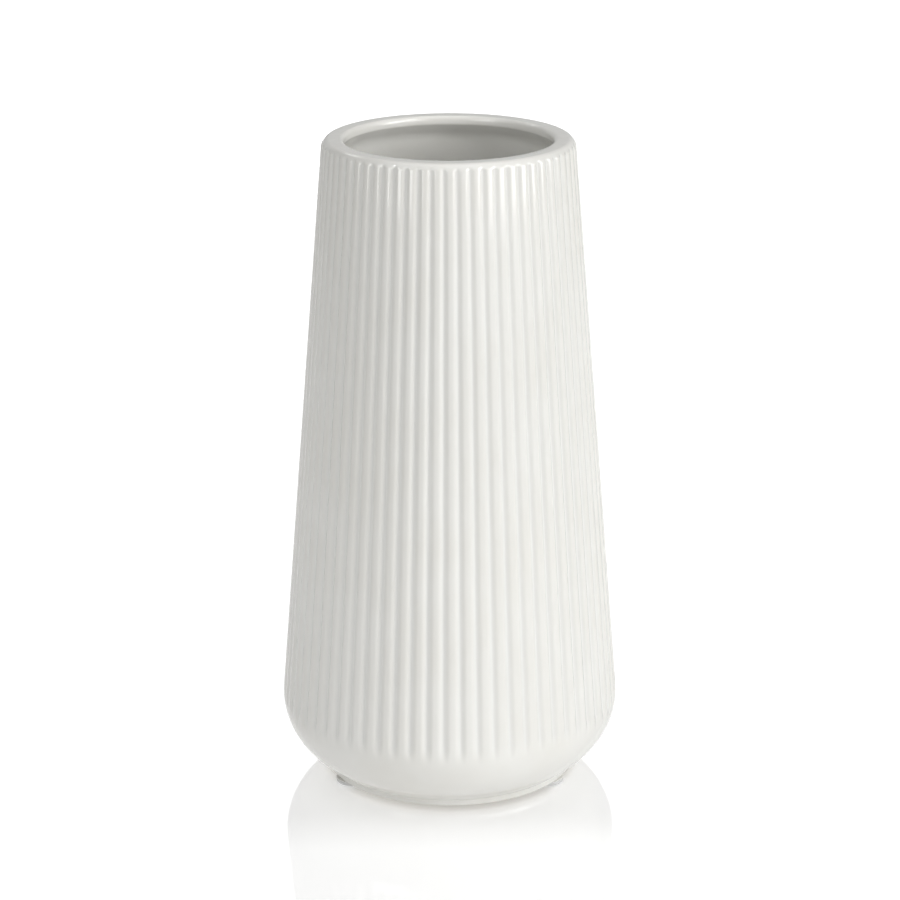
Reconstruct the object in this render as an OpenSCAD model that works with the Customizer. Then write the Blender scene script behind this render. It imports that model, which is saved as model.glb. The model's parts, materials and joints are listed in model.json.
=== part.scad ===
// Fluted ceramic bud vase on three clear bumper pads.
// Millimetres, +Z up. The origin is on the vase's axis, at the height of the surface that it stands on.
// The front of the vase faces -Y.

/* [Body] */
// Height of the ceramic body, from the underside of the foot ring to the crown of the lip
body_h = 203; // [150:1:260]
// Diameter at which the line of the tapering wall meets the height of the lip
rim_d = 76.8; // [74:0.2:92]
// Diameter of the sharp corner where the lines of the wall and the bowl would meet
belly_d = 108.7; // [100:0.1:132]
// Height of that corner above the underside of the foot ring
belly_z = 12.9; // [11:0.05:17]
// Radius of the round that blends the wall into the bowl
shoulder_r = 22.5; // [10:0.5:28]
// Thickness of the ceramic, square to the surface
wall = 4; // [3:0.1:5]

/* [Lip] */
// Width of the mouth between the inner faces of the lip
mouth_d = 63.4; // [52:0.2:66]
// Radius of the lip's outer edge
lip_outer_r = 2.4; // [1:0.1:2.6]
// Radius of the lip's inner edge
lip_inner_r = 1.4; // [1:0.1:1.8]
// Height of the lip's straight inner face, edges included
lip_face_h = 2.6; // [2.4:0.1:4.5]
// Depth below the crown at which the lip's underside has run back into the wall
lip_depth = 6.5; // [5:0.1:12]
// Radius of the lip's lower inner edge
lip_under_r = 1; // [0.6:0.1:1.2]
// Radius of the blend from the lip's underside into the wall
lip_blend_r = 6; // [1:0.5:7]

/* [Foot] */
// Outside diameter of the foot ring
foot_d = 80.5; // [64:0.5:98]
// Width of the foot ring's flat underside, edges included
foot_ring_w = 8; // [6:0.5:10]
// Height of the foot ring up to the crease under the bowl
foot_ring_h = 2.1; // [1.6:0.1:3]
// Depth of the hollow under the base
foot_recess = 2; // [1:0.1:3]
// Radius of the foot ring's edges
foot_edge_r = 0.6; // [0.2:0.1:0.7]
// Thickness of the ceramic over the hollow under the base
floor_t = 4.5; // [3:0.1:6]
// Radius of the round between the inside wall and the floor
floor_r = 8; // [3:0.5:10]

/* [Flutes] */
// Number of flutes round the body
flute_count = 64; // [48:2:72]
// Width of one flute at its lower end
flute_w = 3; // [2:0.1:3.6]
// Depth of one flute at its lower end
flute_depth = 0.85; // [0.4:0.05:1.4]
// Depth of one flute at the lip
flute_lip_depth = 0.6; // [0.3:0.05:1.2]
// Height of the flutes' lower ends above the underside of the foot ring
flute_end_z = 23; // [20:0.5:60]
// Length over which a flute fades in from its lower end
flute_fade = 5; // [2:0.5:12]
// Turn of the whole pattern about the axis, in degrees, from a rib that faces the front
flute_turn = 0.85; // [0:0.05:5]

/* [Bumper pads] */
// Number of pads under the foot ring
pad_count = 3; // [3]
// Diameter of one pad
pad_d = 10; // [6:0.5:12]
// Thickness of the clear pad without its adhesive
pad_t = 1.35; // [1:0.05:4]
// Radius of the pad's lower edge
pad_edge_r = 0.6; // [0.2:0.1:0.8]
// Thickness of the adhesive film between pad and foot ring
film_t = 0.15; // [0.05:0.05:0.3]
// How far a pad's edge stands out past the foot ring
pad_overhang = 0.8; // [0:0.1:3]

/* [Hidden] */

// Straight steps in each rounded corner of an outline, one for every so many degrees of turn
step_angle = 6;
// Edges of the flute cutter's section, as shares of half a flute's width from its middle
flute_shares = [-1.25:0.5:1.25];
// How far the flute cutter runs on above the lip
cutter_over = 4;
// Most of a side that the arc at one of its ends may take
arc_share = 0.9;

foot_r = foot_d / 2;
rim_pt = [rim_d / 2, body_h];
belly_pt = [belly_d / 2, belly_z];
crease_pt = [foot_r, foot_ring_h];
lift = pad_t + film_t;
pad_centre_r = foot_r + pad_overhang - pad_d / 2;
// The front of the vase lies between the right and the left pad
first_pad_angle = -90 + 180 / pad_count;

// ---- Plane geometry of the outline, as [radius, height] points ----

function unit(v) = v / norm(v);

// The point where two lines cross, each given by a point and a direction
function line_cross(p, u, q, v) =
    let (w = q - p, across = u[0] * v[1] - u[1] * v[0])
    p + u * (w[0] * v[1] - w[1] * v[0]) / across;

// The left-hand side of a direction
function left_of(u) = [-u[1], u[0]];

// The angle between two directions, in degrees
function spread(u, v) = acos(max(-1, min(1, u * v)));

// The arc that rounds one corner, as points from its start to its end. The radius is limited
// so that the arc takes no more than its share of the shorter side.
function corner_arc(before, corner, after, radius) =
    let (u = unit(before - corner),
         v = unit(after - corner),
         half = spread(u, v) / 2,
         room = arc_share * min(norm(before - corner), norm(after - corner)),
         r = min(radius, room * tan(half)),
         centre = corner + unit(u + v) * r / sin(half),
         start = corner + u * r / tan(half) - centre,
         first = atan2(start[1], start[0]),
         way = u[0] * v[1] - u[1] * v[0] > 0 ? -1 : 1,
         turn = way * (180 - 2 * half),
         steps = max(2, ceil(abs(turn) / step_angle)))
    [for (i = [0:steps]) centre + r * [cos(first + turn * i / steps), sin(first + turn * i / steps)]];

// An outline from corners given as [radius, height, round]
function rounded(corners) =
    [for (i = [0:len(corners) - 1])
        let (n = len(corners),
             here = [corners[i][0], corners[i][1]],
             last = corners[(i + n - 1) % n],
             next = corners[(i + 1) % n])
        each (corners[i][2] > 0
            ? corner_arc([last[0], last[1]], here, [next[0], next[1]], corners[i][2])
            : [here])];

// ---- Lines of the wall and the bowl, and the same lines one wall thickness further in ----

wall_dir = unit(rim_pt - belly_pt);
bowl_dir = unit(belly_pt - crease_pt);
wall_in = rim_pt + left_of(wall_dir) * wall;
bowl_in = crease_pt + left_of(bowl_dir) * wall;
floor_z = foot_recess + floor_t;
cavity_top = line_cross(wall_in, wall_dir, [0, body_h - lip_depth], [1, 0]);
cavity_belly = line_cross(wall_in, wall_dir, bowl_in, bowl_dir);
cavity_floor = line_cross(bowl_in, bowl_dir, [0, floor_z], [1, 0]);

// The section of the body on one side of the axis
body_section = rounded([
    [0, foot_recess, 0],
    [foot_r - foot_ring_w, foot_recess, foot_edge_r],
    [foot_r - foot_ring_w, 0, foot_edge_r],
    [foot_r, 0, foot_edge_r],
    [crease_pt[0], crease_pt[1], 0],
    [belly_pt[0], belly_pt[1], shoulder_r],
    [rim_pt[0], rim_pt[1], lip_outer_r],
    [mouth_d / 2, body_h, lip_inner_r],
    [mouth_d / 2, body_h - lip_face_h, lip_under_r],
    [cavity_top[0], cavity_top[1], lip_blend_r],
    [cavity_belly[0], cavity_belly[1], shoulder_r - wall],
    [cavity_floor[0], cavity_floor[1], floor_r],
    [0, floor_z, 0]]);

// ---- Flute cutter: a straight bar with a rounded inner side. It lies a little closer to the wall's
// surface at the lip than at its lower end, so that a flute narrows and thins as the wall does ----

wall_angle = atan2(belly_pt[0] - rim_pt[0], body_h - belly_z);
cutter_foot = [belly_pt[0] - (flute_end_z - belly_z) * tan(wall_angle), flute_end_z];
cutter_top = [rim_pt[0] + flute_depth - flute_lip_depth, body_h];
cutter_tilt = atan2(cutter_foot[0] - cutter_top[0], cutter_top[1] - cutter_foot[1]);
cutter_length = norm(cutter_top - cutter_foot) + cutter_over;
// Slope of the flute's floor where it fades in, and the block that keeps the bar beyond that slope
fade_angle = atan2(flute_fade, flute_depth);
keep_block = [cutter_length + 2 * cutter_over, 2 * flute_w, cutter_length];

module flute_cutter() {
    translate([cutter_foot[0], 0, cutter_foot[1]]) rotate([0, -cutter_tilt, 0]) intersection() {
        linear_extrude(height = cutter_length)
            polygon([for (s = flute_shares) [flute_depth * (s * s - 1), flute_w / 2 * s]]);
        rotate([0, fade_angle, 0])
            translate([cutter_over - keep_block[0], -keep_block[1] / 2, 0]) cube(keep_block);
    }
}

module vase_body() {
    color([0.93, 0.93, 0.91]) translate([0, 0, lift]) difference() {
        rotate_extrude($fn = 256) polygon(body_section);
        for (i = [0:flute_count - 1])
            rotate([0, 0, -90 + flute_turn + (i + 0.5) * 360 / flute_count]) flute_cutter();
    }
}

// ---- Bumper pads and their adhesive, numbered round the foot from the right-hand one ----

module at_pad(index) {
    rotate([0, 0, first_pad_angle + index * 360 / pad_count])
        translate([pad_centre_r, 0, 0]) children();
}

module foot_pad(index) {
    pad_section = rounded([[0, 0, 0], [pad_d / 2, 0, pad_edge_r], [pad_d / 2, pad_t, 0], [0, pad_t, 0]]);
    color([0.9, 0.93, 0.93]) at_pad(index) rotate_extrude($fn = 96) polygon(pad_section);
}

module pad_adhesive(index) {
    color([0.96, 0.95, 0.88]) at_pad(index) translate([0, 0, pad_t])
        cylinder(d = pad_d, h = film_t, $fn = 96);
}

vase_body();
foot_pad(0);  // foot_pad_right
foot_pad(1);  // foot_pad_back
foot_pad(2);  // foot_pad_left
pad_adhesive(0);  // pad_adhesive_right
pad_adhesive(1);  // pad_adhesive_back
pad_adhesive(2);  // pad_adhesive_left
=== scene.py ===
# %% [markdown]
# # A fluted ceramic bud vase
#
# The vase is one piece of slip-cast clay under a white satin-gloss glaze, standing on three clear
# bumper pads. This lesson builds its finished look around the exact design model, which is loaded
# first and never moved. Everything is in metres, +Z up, and the front of the vase faces -Y.

# %% Load the design model
import bpy
import json
import math
import numpy as np
from mathutils import Matrix, Vector

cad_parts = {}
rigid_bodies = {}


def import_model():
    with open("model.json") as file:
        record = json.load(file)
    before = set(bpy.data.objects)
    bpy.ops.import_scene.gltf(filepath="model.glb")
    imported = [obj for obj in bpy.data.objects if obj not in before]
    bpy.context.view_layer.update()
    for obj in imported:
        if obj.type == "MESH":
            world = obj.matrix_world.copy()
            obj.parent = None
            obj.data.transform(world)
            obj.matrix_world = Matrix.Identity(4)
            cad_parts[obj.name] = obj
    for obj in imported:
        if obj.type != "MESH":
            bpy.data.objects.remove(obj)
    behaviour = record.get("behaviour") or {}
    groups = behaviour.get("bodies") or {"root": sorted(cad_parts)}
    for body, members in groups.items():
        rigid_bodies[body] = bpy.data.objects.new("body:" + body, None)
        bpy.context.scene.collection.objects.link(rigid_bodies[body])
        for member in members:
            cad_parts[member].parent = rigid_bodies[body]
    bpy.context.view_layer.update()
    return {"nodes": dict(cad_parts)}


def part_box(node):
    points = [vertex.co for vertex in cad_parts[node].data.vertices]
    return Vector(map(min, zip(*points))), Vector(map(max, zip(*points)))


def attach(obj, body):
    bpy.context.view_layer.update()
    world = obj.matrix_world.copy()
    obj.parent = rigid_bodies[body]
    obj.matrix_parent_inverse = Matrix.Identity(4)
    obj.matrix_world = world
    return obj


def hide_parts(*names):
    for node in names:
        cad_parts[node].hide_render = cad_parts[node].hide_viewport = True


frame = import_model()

MM = 0.001
body_low, body_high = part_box("vase_body")
print("pieces of the design:", sorted(frame["nodes"]))
print("ceramic body from", tuple(body_low), "to", tuple(body_high))

# %% [markdown]
# ## The outline of the vase
#
# Cast from a turned plaster mould, the body is a shape of revolution, so one outline says it all:
# a tapering wall, a round shoulder, a slanted bowl, a foot ring and a thick lip. It could be drawn
# as a curve and spun with a Screw modifier, but the flutes need their own depth at every ring, so
# the outline is worked out as rings here and the mesh is made from them directly. The corners are
# given sharp, each with a radius, the way a mould maker's drawing has them.

# %% Sizes of the body
body_height = body_high.z - body_low.z
rim_radius = 38.4 * MM
corner_radius = 54.35 * MM
corner_height = 12.9 * MM
shoulder_round = 22.5 * MM
wall_thickness = 4 * MM
mouth_radius = 31.7 * MM
lip_outer_round, lip_inner_round = 2.4 * MM, 1.4 * MM
lip_face_height = 2.6 * MM
lip_under_round = 1.0 * MM
lip_depth = 6.5 * MM
lip_blend = 6 * MM
foot_radius = 40.25 * MM
foot_ring_width = 8 * MM
foot_ring_height = 2.1 * MM
foot_recess = 2 * MM
floor_height = foot_recess + 4.5 * MM
floor_round = 8 * MM
foot_edge_round, crease_round = 0.6 * MM, 0.5 * MM
recess_slope, recess_round, land_inner_round = 0.4 * MM, 0.8 * MM, 0.5 * MM
longest_step = 30 * MM
arc_share = 0.95
print("body height, mm:", round(body_height / MM, 2))


# %% Helpers for rounded outlines
def unit(v):
    """The direction of a vector."""
    return v / np.linalg.norm(v)


def left_of(u):
    """A direction turned a quarter turn to the left."""
    return np.array([-u[1], u[0]])


def line_cross(p, u, q, v):
    """Where two lines cross, each given by a point and a direction."""
    w = q - p
    return p + u * (w[0] * v[1] - w[1] * v[0]) / (u[0] * v[1] - u[1] * v[0])


def corner_arc(before, corner, after, radius, steps):
    """The points of the arc that rounds one corner. It takes no more than arc_share of a side."""
    u, v = unit(before - corner), unit(after - corner)
    half = math.acos(float(np.clip(u @ v, -1, 1))) / 2
    room = arc_share * min(np.linalg.norm(before - corner), np.linalg.norm(after - corner))
    radius = min(radius, room * math.tan(half))
    centre = corner + unit(u + v) * radius / math.sin(half)
    spoke = corner + u * radius / math.tan(half) - centre
    first = math.atan2(spoke[1], spoke[0])
    way = -1 if u[0] * v[1] - u[1] * v[0] > 0 else 1
    turn = way * (math.pi - 2 * half)
    angles = first + turn * np.linspace(0, 1, steps + 1)
    return [centre + radius * np.array([math.cos(a), math.sin(a)]) for a in angles]


def rounded(corners):
    """A run of points from corners given as (radius, height, round, steps)."""
    points = []
    for i, (r, z, radius, steps) in enumerate(corners):
        here = np.array([r, z])
        if radius == 0:
            points.append(here)
            continue
        before = np.array(corners[i - 1][:2])
        after = np.array(corners[(i + 1) % len(corners)][:2])
        points += corner_arc(before, here, after, radius, steps)
    return points


def filled(points, longest):
    """The same run with extra points, so that no step is longer than the given length."""
    out = [points[0]]
    for a, b in zip(points[:-1], points[1:]):
        steps = max(1, math.ceil(np.linalg.norm(b - a) / longest))
        out += [a + (b - a) * k / steps for k in range(1, steps + 1)]
    return out


# %% The outline itself
rim = np.array([rim_radius, body_height])
belly = np.array([corner_radius, corner_height])
crease = np.array([foot_radius, foot_ring_height])
wall_dir, bowl_dir = unit(rim - belly), unit(belly - crease)
wall_in = rim + left_of(wall_dir) * wall_thickness
bowl_in = crease + left_of(bowl_dir) * wall_thickness
level = np.array([1.0, 0.0])
cavity_top = line_cross(wall_in, wall_dir, np.array([0, body_height - lip_depth]), level)
cavity_belly = line_cross(wall_in, wall_dir, bowl_in, bowl_dir)
cavity_floor = line_cross(bowl_in, bowl_dir, np.array([0, floor_height]), level)

corners = [
    (0.0, foot_recess, 0, 0),
    (foot_radius - foot_ring_width - recess_slope, foot_recess, recess_round, 3),
    (foot_radius - foot_ring_width, 0.0, land_inner_round, 3),
    (foot_radius, 0.0, foot_edge_round, 4),
    (*crease, crease_round, 3),
    (*belly, shoulder_round, 18),
    (rim_radius, body_height, lip_outer_round, 10),
    (mouth_radius, body_height, lip_inner_round, 7),
    (mouth_radius, body_height - lip_face_height, lip_under_round, 4),
    (*cavity_top, lip_blend, 5),
    (*cavity_belly, shoulder_round - wall_thickness, 7),
    (*cavity_floor, floor_round, 4),
    (0.0, floor_height, 0, 0),
]
outline = np.array(filled(rounded(corners), longest_step))
outline[:, 1] += body_low.z
print("outline of", len(outline), "rings")

# %% [markdown]
# ## The flutes
#
# The ribs are broad and round and the valleys between them are narrow, which the square of a
# cosine gives with one formula. Both shrink towards the rim in step with the wall. Each valley
# fades out on the shoulder and on the round of the lip, because thick glaze fills its ends. At the
# lip the whole surface is set in a little too, so that each rib ends in a small step. The outline's
# normal says which way is into the clay, so the fade follows the curved shoulder.

# %% Flute depth, ring by ring
flute_count = 64
flute_turn = math.radians(0.85)
flute_depth = 0.83 * MM
flute_depth_at = 50 * MM
flute_power = 2.1
fade_low, fade_high = 19.4 * MM, 27.0 * MM
lip_fade_low, lip_fade_high = 2.3 * MM, 0.7 * MM
rib_rise = 0.22 * MM


def smooth(t):
    """A smooth step from 0 to 1."""
    t = np.clip(t, 0, 1)
    return t * t * (3 - 2 * t)


def outline_normals(points):
    """The outward direction at each point of the outline, out of the clay."""
    along = np.gradient(points, axis=0)
    along /= np.linalg.norm(along, axis=1)[:, None]
    return np.stack([along[:, 1], -along[:, 0]], axis=1)


normals = outline_normals(outline)
height = outline[:, 1] - body_low.z
crown = np.argmax(outline[:, 1])
outside = np.arange(len(outline)) < crown
fade_in = smooth((height - fade_low) / (fade_high - fade_low))
fade_out = smooth((body_height - height - lip_fade_high) / (lip_fade_low - lip_fade_high))
ring_depth = np.where(outside, fade_in * fade_out, 0)
wall_radius = np.interp(height, [corner_height, body_height], [corner_radius, rim_radius])
depth_radius = np.interp(flute_depth_at, [corner_height, body_height], [corner_radius, rim_radius])
ring_depth *= flute_depth * wall_radius / depth_radius
lip_inset = rib_rise * np.where(outside & (height > body_height / 2), 1 - fade_out, 0)
lip_inset *= np.clip((body_height - height) / lip_fade_high, 0, 1)
print("rings with flutes:", int((ring_depth > 0).sum()))

# %% [markdown]
# ## The body mesh
#
# The rings are joined into quads with the same number of points in each, fourteen to a flute,
# which keeps every rib smooth at its edge against the light. The two rings on the axis shrink to
# one point each. How deep a point lies in its flute is kept as an attribute, and the glaze reads it
# later to pool there.

# %% Build the body
points_per_flute = 14
columns = flute_count * points_per_flute
around = 2 * math.pi * np.arange(columns) / columns
phase = (around + math.pi / 2 - flute_turn) * flute_count
valley = ((1 - np.cos(phase)) / 2) ** flute_power


def revolve(name, points, dent=None, dent_dir=None, turns=None):
    """A closed mesh from an outline that starts and ends on the axis. dent is how far each point
    of each ring is pushed in against dent_dir."""
    turns = around if turns is None else turns
    count = len(turns)
    rings = points[1:-1]
    dent = np.zeros((len(points), count)) if dent is None else dent
    dent_dir = np.zeros((len(points), 2)) if dent_dir is None else dent_dir
    r = rings[:, 0, None] - dent[1:-1] * dent_dir[1:-1, 0, None]
    z = rings[:, 1, None] - dent[1:-1] * dent_dir[1:-1, 1, None]
    grid = np.stack([r * np.cos(turns), r * np.sin(turns), z], axis=-1).reshape(-1, 3)
    ends = [[0, 0, points[0, 1]], [0, 0, points[-1, 1]]]
    vertices = np.concatenate([grid, ends])
    start, stop = len(grid), len(grid) + 1
    here = np.arange(count)
    after = (here + 1) % count
    faces = []
    for ring in range(len(rings) - 1):
        low, high = ring * count, (ring + 1) * count
        faces += np.stack([low + here, low + after, high + after, high + here], 1).tolist()
    last = (len(rings) - 1) * count
    faces += np.stack([np.full(count, start), after, here], 1).tolist()
    faces += np.stack([np.full(count, stop), last + here, last + after], 1).tolist()
    mesh = bpy.data.meshes.new(name)
    mesh.from_pydata(vertices.tolist(), [], faces)
    mesh.polygons.foreach_set("use_smooth", [True] * len(mesh.polygons))
    mesh.update()
    piece = bpy.data.objects.new(name, mesh)
    bpy.context.scene.collection.objects.link(piece)
    return piece


dent = ring_depth[:, None] * valley + lip_inset[:, None]
body = revolve("glazed_body", outline, dent, normals)
pool = np.append((dent[1:-1] / flute_depth).ravel(), [0, 0])
attribute = body.data.attributes.new("pool", "FLOAT", "POINT")
attribute.data.foreach_set("value", pool.astype(np.float32))
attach(body, "root")
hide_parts("vase_body")
print("body:", len(body.data.vertices), "points,", len(body.data.polygons), "faces")

# %% [markdown]
# ## Bumper pads and adhesive
#
# The pads are clear cast polyurethane: a flat top, straight sides and a soft lower edge with a
# slightly hollow underside. A spun outline gives all that. Each is stuck on with a thin film of
# acrylic adhesive that squeezes out a little at its rim, so the film bulges between pad and clay.

# %% Build the pads
side_names = ["right", "back", "left"]
pad_points = 64
pad_turns = 2 * math.pi * np.arange(pad_points) / pad_points
hollow, hollow_round = 0.12 * MM, 1.5 * MM
hollow_share, land_share = 0.55, 0.72
lower_round, upper_round, draft = 0.6 * MM, 0.12 * MM, 0.1 * MM
squeeze = 0.05 * MM
bulge_share = 0.4


def place_round(piece, node):
    """Moves a spun piece from the axis to the middle of its design piece."""
    low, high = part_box(node)
    piece.location = ((low.x + high.x) / 2, (low.y + high.y) / 2, 0)
    bpy.context.view_layer.update()


for side in side_names:
    low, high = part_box("foot_pad_" + side)
    radius = (high.x - low.x) / 2
    pad_corners = [
        (0.0, low.z + hollow, 0, 0),
        (radius * hollow_share, low.z + hollow, hollow_round, 4),
        (radius * land_share, low.z, hollow_round, 4),
        (radius, low.z, lower_round, 8),
        (radius - draft, high.z, upper_round, 3),
        (0.0, high.z, 0, 0),
    ]
    pad = revolve("bumper_pad_" + side, np.array(rounded(pad_corners)), turns=pad_turns)
    place_round(pad, "foot_pad_" + side)
    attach(pad, "root")
    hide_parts("foot_pad_" + side)

    low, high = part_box("pad_adhesive_" + side)
    middle = (low.z + high.z) / 2
    film_corners = [
        (0.0, low.z, 0, 0),
        (radius - 3 * squeeze, low.z, 0, 0),
        (radius - squeeze, low.z + (middle - low.z) * bulge_share, 0, 0),
        (radius, middle, 0, 0),
        (radius - squeeze, high.z - (high.z - middle) * bulge_share, 0, 0),
        (radius - 3 * squeeze, high.z, 0, 0),
        (0.0, high.z, 0, 0),
    ]
    film = revolve("adhesive_film_" + side, np.array(rounded(film_corners)), turns=pad_turns)
    place_round(film, "pad_adhesive_" + side)
    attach(film, "root")
    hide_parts("pad_adhesive_" + side)
    print("pad and film:", side, "radius, mm:", round(radius / MM, 2))


# %% [markdown]
# ## The glaze
#
# A white satin-gloss glaze is glass clouded with opacifier. Light goes in, scatters and comes back
# slightly warm, and a thin clear skin on top gives a small crisp highlight over a broad soft one:
# the shader's own roughness makes the broad one, and its coat the crisp one. Where the glaze pools
# in the flutes it is a touch cooler, and where it lies thin the clay warms it. Two sizes of noise
# tilt the surface, the larger by two hundredths of a millimetre, as a fired glaze does.

# %% Helpers for materials
def new_material(name):
    """A material with a Principled shader, and a function that adds and links nodes."""
    material = bpy.data.materials.new(name)
    material.use_nodes = True
    tree = material.node_tree
    shader = next(n for n in tree.nodes if n.type == "BSDF_PRINCIPLED")

    def add(kind, settings=None, **inputs):
        node = tree.nodes.new(kind)
        for key, value in (settings or {}).items():
            setattr(node, key, value)
        for key, value in inputs.items():
            socket = node.inputs[key.replace("_", " ")]
            if isinstance(value, bpy.types.NodeSocket):
                tree.links.new(value, socket)
            else:
                socket.default_value = value
        return node

    return material, tree, shader, add


def set_inputs(shader, **inputs):
    """Constants set on the shader's own sockets."""
    for key, value in inputs.items():
        shader.inputs[key.replace("_", " ")].default_value = value


def mix_colours(add, factor, first, second):
    """A colour mixed from two, by a factor socket."""
    node = add("ShaderNodeMix", {"data_type": "RGBA"})
    tree = node.id_data
    tree.links.new(factor, node.inputs[0])
    for socket, value in ((node.inputs[6], first), (node.inputs[7], second)):
        if isinstance(value, bpy.types.NodeSocket):
            tree.links.new(value, socket)
        else:
            socket.default_value = value
    return node.outputs[2]


def remap(add, value, low, high, to_low, to_high):
    """A value moved from one range to another, and held inside it."""
    node = add("ShaderNodeMapRange", {"clamp": True}, Value=value, From_Min=low, From_Max=high,
               To_Min=to_low, To_Max=to_high)
    return node.outputs["Result"]


def bumps(add, place, scales):
    """A normal from stacked noise, given as (size, depth) in metres, coarsest first."""
    normal = None
    for size, depth in scales:
        noise = add("ShaderNodeTexNoise", None, Vector=place, Scale=1 / size, Detail=2.0)
        bump = add("ShaderNodeBump", None, Height=noise.outputs["Fac"], Distance=depth, Strength=1.0)
        if normal is not None:
            bump.id_data.links.new(normal, bump.inputs["Normal"])
        normal = bump.outputs["Normal"]
    return normal


# %% White satin-gloss glaze
glaze, tree, shader, add = new_material("white satin-gloss glaze")
place = add("ShaderNodeTexCoord").outputs["Object"]
thin_glaze = (0.800, 0.791, 0.748, 1)
full_glaze = (0.828, 0.823, 0.788, 1)
pooled_glaze = (0.818, 0.819, 0.790, 1)
cloud = add("ShaderNodeTexNoise", None, Vector=place, Scale=1 / (24 * MM), Detail=3.0)
fine_cloud = add("ShaderNodeTexNoise", None, Vector=place, Scale=1 / (3 * MM), Detail=4.0)
pool_depth = add("ShaderNodeAttribute", {"attribute_name": "pool"}).outputs["Fac"]
thickness = remap(add, cloud.outputs["Fac"], 0.35, 0.65, 0.0, 1.0)
colour = mix_colours(add, thickness, thin_glaze, full_glaze)
pooled = remap(add, pool_depth, 0.1, 0.9, 0.0, 1.0)
colour = mix_colours(add, pooled, colour, pooled_glaze)
tree.links.new(colour, shader.inputs["Base Color"])
glossiest, dullest = 0.205, 0.265
gloss = remap(add, fine_cloud.outputs["Fac"], 0.3, 0.7, glossiest, dullest)
tree.links.new(gloss, shader.inputs["Roughness"])
waves, orange_peel = (9 * MM, 0.02 * MM), (0.9 * MM, 0.0012 * MM)
tree.links.new(bumps(add, place, [waves, orange_peel]), shader.inputs["Normal"])
set_inputs(shader, IOR=1.5, Coat_Weight=0.5, Coat_Roughness=0.07, Coat_IOR=1.5)
body.data.materials.append(glaze)
print("glaze nodes:", len(tree.nodes))

# %% [markdown]
# ## The bare foot
#
# Before firing, the glaze is wiped off the flat of the foot ring so that it doesn't weld the vase
# to the kiln shelf. That leaves a matt band of cream stoneware with a fine sandy grain. It is a
# second material on the same mesh, on the faces between the ring's two edges.

# %% Bare stoneware on the foot ring
clay, tree, shader, add = new_material("bare stoneware")
place = add("ShaderNodeTexCoord").outputs["Object"]
grain = add("ShaderNodeTexNoise", None, Vector=place, Scale=1 / (0.5 * MM), Detail=5.0)
blotch = add("ShaderNodeTexNoise", None, Vector=place, Scale=1 / (6 * MM), Detail=2.0)
light_clay, dark_clay, speck = (0.80, 0.775, 0.71, 1), (0.74, 0.705, 0.63, 1), (0.56, 0.50, 0.42, 1)
colour = mix_colours(add, blotch.outputs["Fac"], light_clay, dark_clay)
specks = remap(add, grain.outputs["Fac"], 0.66, 0.72, 0.0, 0.7)
colour = mix_colours(add, specks, colour, speck)
tree.links.new(colour, shader.inputs["Base Color"])
tree.links.new(bumps(add, place, [(0.5 * MM, 0.03 * MM)]), shader.inputs["Normal"])
set_inputs(shader, Roughness=0.85, IOR=1.45)
body.data.materials.append(clay)
centres = np.zeros(len(body.data.polygons) * 3)
body.data.polygons.foreach_get("center", centres)
centres = centres.reshape(-1, 3)
bare_height = 0.12 * MM
on_land = centres[:, 2] < body_low.z + bare_height
body.data.polygons.foreach_set("material_index", on_land.astype(np.int32))
print("bare faces:", int(on_land.sum()))

# %% [markdown]
# ## Clear pads and their adhesive
#
# Clear polyurethane takes light through it, but it is never as clean as glass: it scuffs, and it
# holds a haze that turns milky where it is seen edge on. So the shader passes a quarter of the light
# and keeps the rest as white of its own, with scuffs in its roughness. The adhesive is a similar
# film, slightly yellow and full of tiny bubbles. It could be clear glass all through, but a pad that
# thin would then only show the dark clay above it.

# %% Clear polyurethane and acrylic adhesive
bumper, tree, shader, add = new_material("clear polyurethane")
place = add("ShaderNodeTexCoord").outputs["Object"]
haze = add("ShaderNodeTexNoise", None, Vector=place, Scale=1 / (1.2 * MM), Detail=3.0)
scuff = add("ShaderNodeTexNoise", None, Vector=place, Scale=1 / (0.25 * MM), Detail=4.0)
colour = mix_colours(add, haze.outputs["Fac"], (0.91, 0.92, 0.91, 1), (0.96, 0.96, 0.95, 1))
tree.links.new(colour, shader.inputs["Base Color"])
tree.links.new(remap(add, scuff.outputs["Fac"], 0.4, 0.75, 0.08, 0.3), shader.inputs["Roughness"])
tree.links.new(bumps(add, place, [(1.0 * MM, 0.004 * MM)]), shader.inputs["Normal"])
set_inputs(shader, IOR=1.48, Transmission_Weight=0.25)

sticky, tree, shader, add = new_material("acrylic adhesive")
place = add("ShaderNodeTexCoord").outputs["Object"]
bubbles = add("ShaderNodeTexVoronoi", None, Vector=place, Scale=1 / (0.4 * MM))
rim_of_bubble = remap(add, bubbles.outputs["Distance"], 0.1, 0.3, 1.0, 0.0)
colour = mix_colours(add, rim_of_bubble, (0.88, 0.875, 0.84, 1), (0.95, 0.95, 0.93, 1))
tree.links.new(colour, shader.inputs["Base Color"])
tree.links.new(bumps(add, place, [(0.4 * MM, 0.006 * MM)]), shader.inputs["Normal"])
set_inputs(shader, Roughness=0.3, IOR=1.47, Transmission_Weight=0.1)

for side in side_names:
    bpy.data.objects["bumper_pad_" + side].data.materials.append(bumper)
    bpy.data.objects["adhesive_film_" + side].data.materials.append(sticky)
print("pad materials on", len(side_names), "pads")
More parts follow.
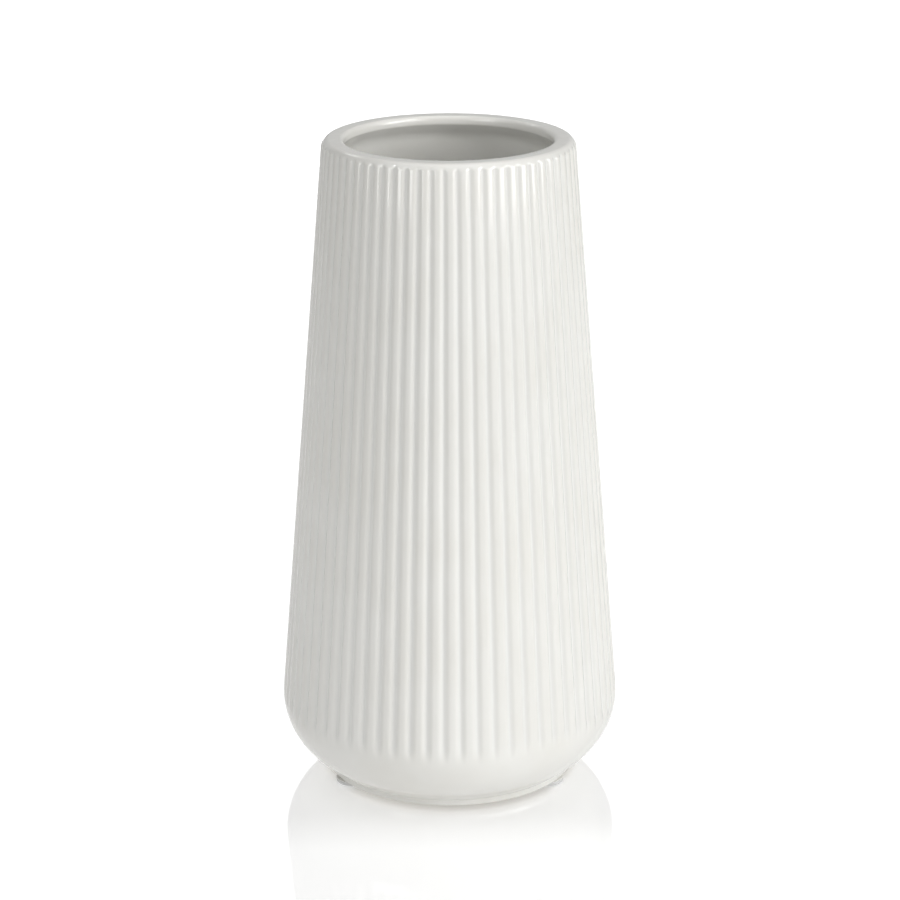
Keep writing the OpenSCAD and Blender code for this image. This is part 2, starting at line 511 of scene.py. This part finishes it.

# %% [markdown]
# ## The light table
#
# The vase stands on a white opal acrylic light table. A lamp under the sheet makes it glow, so the
# table washes out to white without a cast shadow, and its clear coat holds a faint mirror image of
# the bowl. The glow is an oval behind and around the vase. In front it is raised a little, a painted
# brightening that drowns the mirror image, and under the foot it is lowered, a painted contact
# shadow that leaves a soft dark line. A plain white floor would be simpler, but lamps bright enough
# to whiten it would flatten the vase.

# %% Opal light table
table_mesh = bpy.data.meshes.new("light_table")
reach = 6.0
table_gap = 0.1 * MM
table_mesh.from_pydata([(-reach, -reach, 0), (reach, -reach, 0), (reach, reach, 0), (-reach, reach, 0)],
                       [], [(0, 1, 2, 3)])
table_mesh.transform(Matrix.Translation((0, 0, -table_gap)))
table = bpy.data.objects.new("light_table", table_mesh)
bpy.context.scene.collection.objects.link(table)

glow_middle = 0.6
glow_half_width, glow_half_length = 0.7, 1.1
glow_strength = 0.48
glow_fade_start, glow_fade_end = 0.8, 1.3
# front_* set a painted brightening of the glow in front of the vase; shade_* set a painted contact
# shadow under the foot
front_start, front_end, front_gain = -42 * MM, -66 * MM, 0.38
shade_inner, shade_outer, shade_level = 36.5 * MM, 41.5 * MM, 0.5
opal, tree, shader, add = new_material("opal acrylic sheet")
place = add("ShaderNodeTexCoord").outputs["Object"]
oval = add("ShaderNodeMapping", None, Vector=place, Location=(0, -glow_middle / glow_half_length, 0),
           Scale=(1 / glow_half_width, 1 / glow_half_length, 0))
from_middle = add("ShaderNodeVectorMath", {"operation": "LENGTH"})
tree.links.new(oval.outputs["Vector"], from_middle.inputs[0])
glow = remap(add, from_middle.outputs["Value"], glow_fade_start, glow_fade_end, glow_strength, 0.0)
along = add("ShaderNodeSeparateXYZ", None, Vector=place).outputs["Y"]
# painted brightening: the glow is raised in front of the vase to wash out the mirror image
painted_front_brightening = remap(add, along, front_end, front_start, 1 + front_gain, 1.0)
from_axis = add("ShaderNodeVectorMath", {"operation": "LENGTH"})
tree.links.new(place, from_axis.inputs[0])
# painted contact shadow: the glow is dimmed to shade_level under the foot ring
painted_contact_shade = remap(add, from_axis.outputs["Value"], shade_inner, shade_outer, shade_level, 1.0)
for factor in (painted_front_brightening, painted_contact_shade):
    product = add("ShaderNodeMath", {"operation": "MULTIPLY"})
    tree.links.new(glow, product.inputs[0])
    tree.links.new(factor, product.inputs[1])
    glow = product.outputs["Value"]
tree.links.new(glow, shader.inputs["Emission Strength"])
swirl = add("ShaderNodeTexNoise", None, Vector=place, Scale=1 / (40 * MM), Detail=2.0)
tree.links.new(remap(add, swirl.outputs["Fac"], 0.3, 0.7, 0.05, 0.07), shader.inputs["Roughness"])
set_inputs(shader, Base_Color=(0.9, 0.9, 0.9, 1), Emission_Color=(1, 1, 1, 1), IOR=1.49,
           Coat_Weight=1.0, Coat_Roughness=0.04, Coat_IOR=1.55)
table_mesh.materials.append(opal)
print("table glows over", 2 * glow_half_width, "by", 2 * glow_half_length, "m")

# %% [markdown]
# ## Light
#
# White ceramic needs one side a little darker, or its shape goes flat. A key softbox at the right
# does most of the work, weaker ones at the right, left and front fill in around it, and three little
# ones draw the crisp highlights on the lip. Light linking keeps them all off the table, so that it
# stays clean, and a tall panel behind the vase is linked to the table alone, to be what its gloss
# mirrors. The room is dark at eye level and pale overhead, with a dim backdrop. Lamps without
# linking would be truer to a real room, but each would leave its own patch and shadow on the sheet.

# %% Lamps
def softbox(name, turn, rise, distance, width, depth, power):
    """An area lamp that faces the vase. turn is from the front towards the right, and rise is
    above the horizon, both in degrees."""
    lamp = bpy.data.lights.new(name, "AREA")
    lamp.shape = "RECTANGLE"
    lamp.size, lamp.size_y = width, depth
    lamp.energy = power
    holder = bpy.data.objects.new(name, lamp)
    a, e = math.radians(turn), math.radians(rise)
    way = Vector((math.sin(a) * math.cos(e), -math.cos(a) * math.cos(e), math.sin(e)))
    holder.location = Vector((0, 0, body_height / 2)) + distance * way
    holder.rotation_euler = (-way).to_track_quat("-Z", "Y").to_euler()
    holder.visible_camera = False
    holder.light_linking.receiver_collection = lit_pieces
    bpy.context.scene.collection.objects.link(holder)
    return holder


lit_pieces = bpy.data.collections.new("lit_pieces")
lit_names = ["glazed_body"] + ["bumper_pad_" + side for side in side_names]
for name in lit_names + ["adhesive_film_" + side for side in side_names]:
    lit_pieces.objects.link(bpy.data.objects[name])
table_only = bpy.data.collections.new("table_only")
table_only.objects.link(table)
softbox("key_softbox", 65, 20, 1.3, 0.5, 0.7, 8.3)
softbox("right_softbox", 40, 15, 1.3, 0.5, 0.5, 3.1)
softbox("front_softbox", 0, 20, 1.3, 0.5, 0.4, 0.3)
softbox("left_softbox", -40, 18, 1.3, 0.5, 0.6, 4.6)
softbox("right_sparkle", 49, 45, 1.1, 0.15, 0.15, 1.7)
softbox("left_sparkle", -57, 45, 1.1, 0.15, 0.15, 1.0)
softbox("back_left_sparkle", -140, 45, 1.1, 0.15, 0.15, 0.5)
panel = softbox("mirror_panel", 180, 21, 6.5, 3.4, 4.4, 58)
panel.light_linking.receiver_collection = table_only

# %% Room and backdrop
room = bpy.data.worlds.new("pale_room")
room.use_nodes = True
tree = room.node_tree
way = tree.nodes.new("ShaderNodeTexCoord").outputs["Generated"]
split = tree.nodes.new("ShaderNodeSeparateXYZ")
tree.links.new(way, split.inputs["Vector"])


def world_part(axis, low, high, dark, bright):
    """A brightness that climbs smoothly along one axis of the room."""
    ramp = tree.nodes.new("ShaderNodeMapRange")
    ramp.interpolation_type = "SMOOTHSTEP"
    for key, value in zip(("From Min", "From Max", "To Min", "To Max"), (low, high, dark, bright)):
        ramp.inputs[key].default_value = value
    tree.links.new(split.outputs[axis], ramp.inputs["Value"])
    return ramp.outputs["Result"]


def combine(operation, first, second):
    """Two brightnesses added or multiplied."""
    both = tree.nodes.new("ShaderNodeMath")
    both.operation = operation
    tree.links.new(first, both.inputs[0])
    tree.links.new(second, both.inputs[1])
    return both.outputs["Value"]


ceiling_strength, backdrop_strength = 1.24, 0.48
ceiling = world_part("Z", 0.75, 1.0, 0.0, ceiling_strength)
backdrop = world_part("Y", 0.6, 0.85, 0.0, backdrop_strength)
total = combine("ADD", ceiling, backdrop)
tree.links.new(total, tree.nodes["Background"].inputs["Strength"])
tree.nodes["Background"].inputs["Color"].default_value = (1, 1, 1, 1)
bpy.context.scene.world = room
bpy.context.scene.view_settings.view_transform = "Standard"
print("room nodes:", len(tree.nodes))

# %% [markdown]
# ## Camera
#
# A long lens from a little above keeps the wall's taper honest and just shows the dark of the
# mouth. The camera stands in front of the vase, looks down at about eighteen and a half degrees,
# and is rolled a tenth of a degree, as a real tripod is.

# %% Camera in front of the vase
camera = bpy.data.cameras.new("camera")
camera.lens = 108.6
camera.sensor_width = 36
camera.shift_x = 0.0008
camera.shift_y = 0.0006
camera_holder = bpy.data.objects.new("camera", camera)
pitch_down = 18.517
roll = math.radians(-0.11)
camera_holder.location = (0, -0.80643, 0.37340 + body_low.z)
aim = Matrix.Rotation(math.radians(90 - pitch_down), 3, "X") @ Matrix.Rotation(roll, 3, "Z")
camera_holder.rotation_euler = aim.to_euler()
bpy.context.scene.collection.objects.link(camera_holder)
bpy.context.scene.camera = camera_holder
print("camera at", tuple(camera_holder.location))
